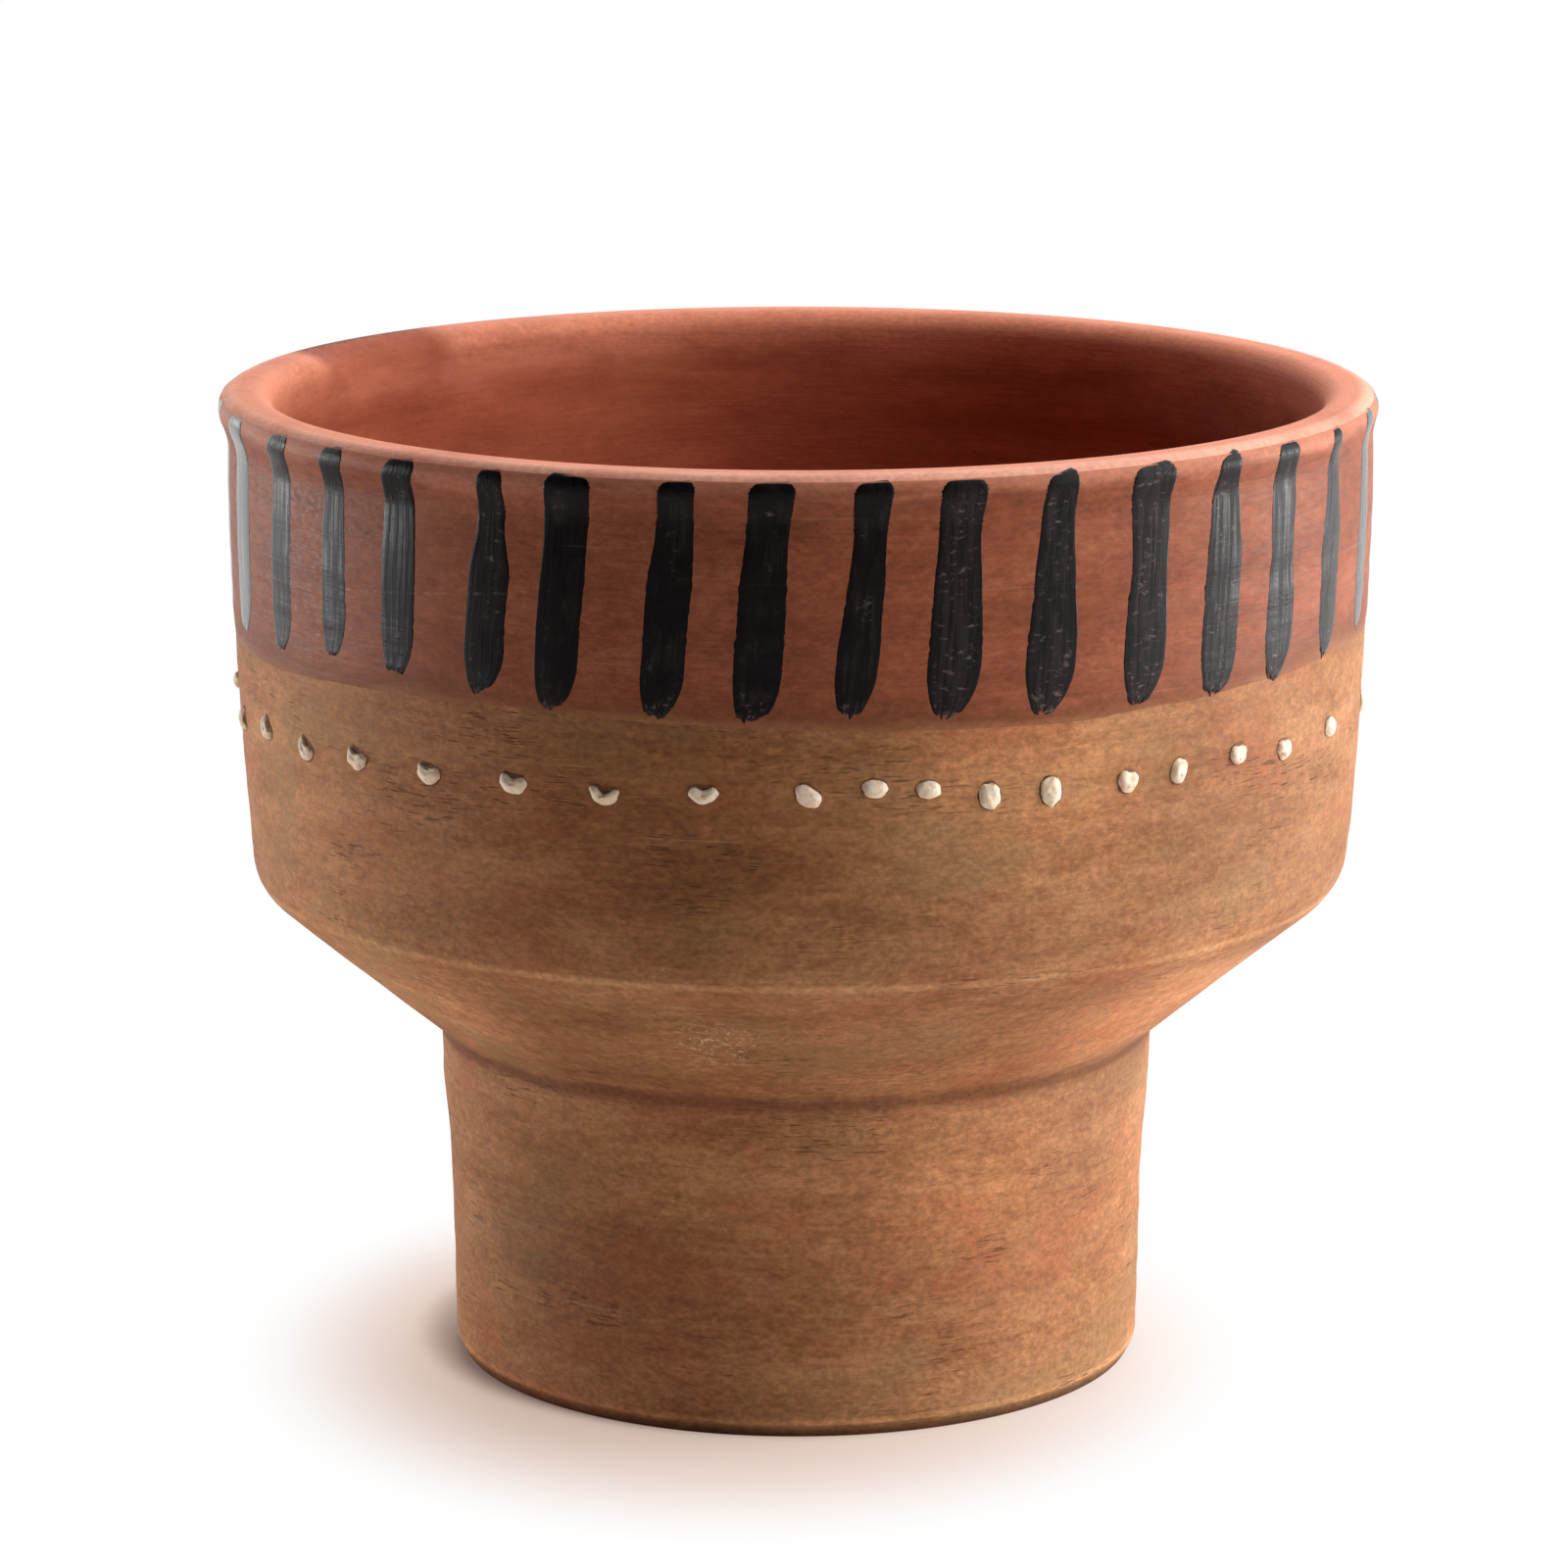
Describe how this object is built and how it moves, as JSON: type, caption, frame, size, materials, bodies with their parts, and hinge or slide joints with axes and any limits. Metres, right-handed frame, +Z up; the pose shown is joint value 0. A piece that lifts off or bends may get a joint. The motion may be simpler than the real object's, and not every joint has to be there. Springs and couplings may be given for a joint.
{
  "type": "footed planter",
  "caption": "Footed terracotta planter: a wide bowl with a rounded lip on a narrower hollow foot, with a band of brush strokes and a row of pressed clay pellets.",
  "frame": {"origin": "centre of the ring that the foot stands on, on the floor", "axes": "+Z up along the axis of the pot, -Y towards the pictured front"},
  "size_m": [0.2603, 0.2604, 0.223],
  "materials": {
    "terracotta": "matte unglazed clay, stained tan-brown on the outside",
    "joint_slip": "matte dark slip",
    "red_brown_slip": "satin red-brown slip",
    "black_slip": "satin black brushwork",
    "white_clay": "matte cream-white clay"
  },
  "bodies": {
    "root": {"bowl": "terracotta", "foot": "terracotta", "slip_joint": "joint_slip", "slip_band": "red_brown_slip", "brush_strokes": "black_slip", "white_pellet_01": "white_clay", "white_pellet_02": "white_clay", "white_pellet_03": "white_clay", "white_pellet_04": "white_clay", "white_pellet_05": "white_clay", "white_pellet_06": "white_clay", "white_pellet_07": "white_clay", "white_pellet_08": "white_clay", "white_pellet_09": "white_clay", "white_pellet_10": "white_clay", "white_pellet_11": "white_clay", "white_pellet_12": "white_clay", "white_pellet_13": "white_clay", "white_pellet_14": "white_clay", "white_pellet_15": "white_clay", "white_pellet_16": "white_clay", "white_pellet_17": "white_clay", "white_pellet_18": "white_clay", "white_pellet_19": "white_clay", "white_pellet_20": "white_clay", "white_pellet_21": "white_clay", "white_pellet_22": "white_clay", "white_pellet_23": "white_clay", "white_pellet_24": "white_clay", "white_pellet_25": "white_clay", "white_pellet_26": "white_clay", "white_pellet_27": "white_clay", "white_pellet_28": "white_clay", "white_pellet_29": "white_clay", "white_pellet_30": "white_clay", "white_pellet_31": "white_clay", "white_pellet_32": "white_clay", "white_pellet_33": "white_clay", "white_pellet_34": "white_clay", "white_pellet_35": "white_clay", "white_pellet_36": "white_clay", "white_pellet_37": "white_clay", "white_pellet_38": "white_clay", "white_pellet_39": "white_clay", "white_pellet_40": "white_clay"}
  },
  "joints": []
}
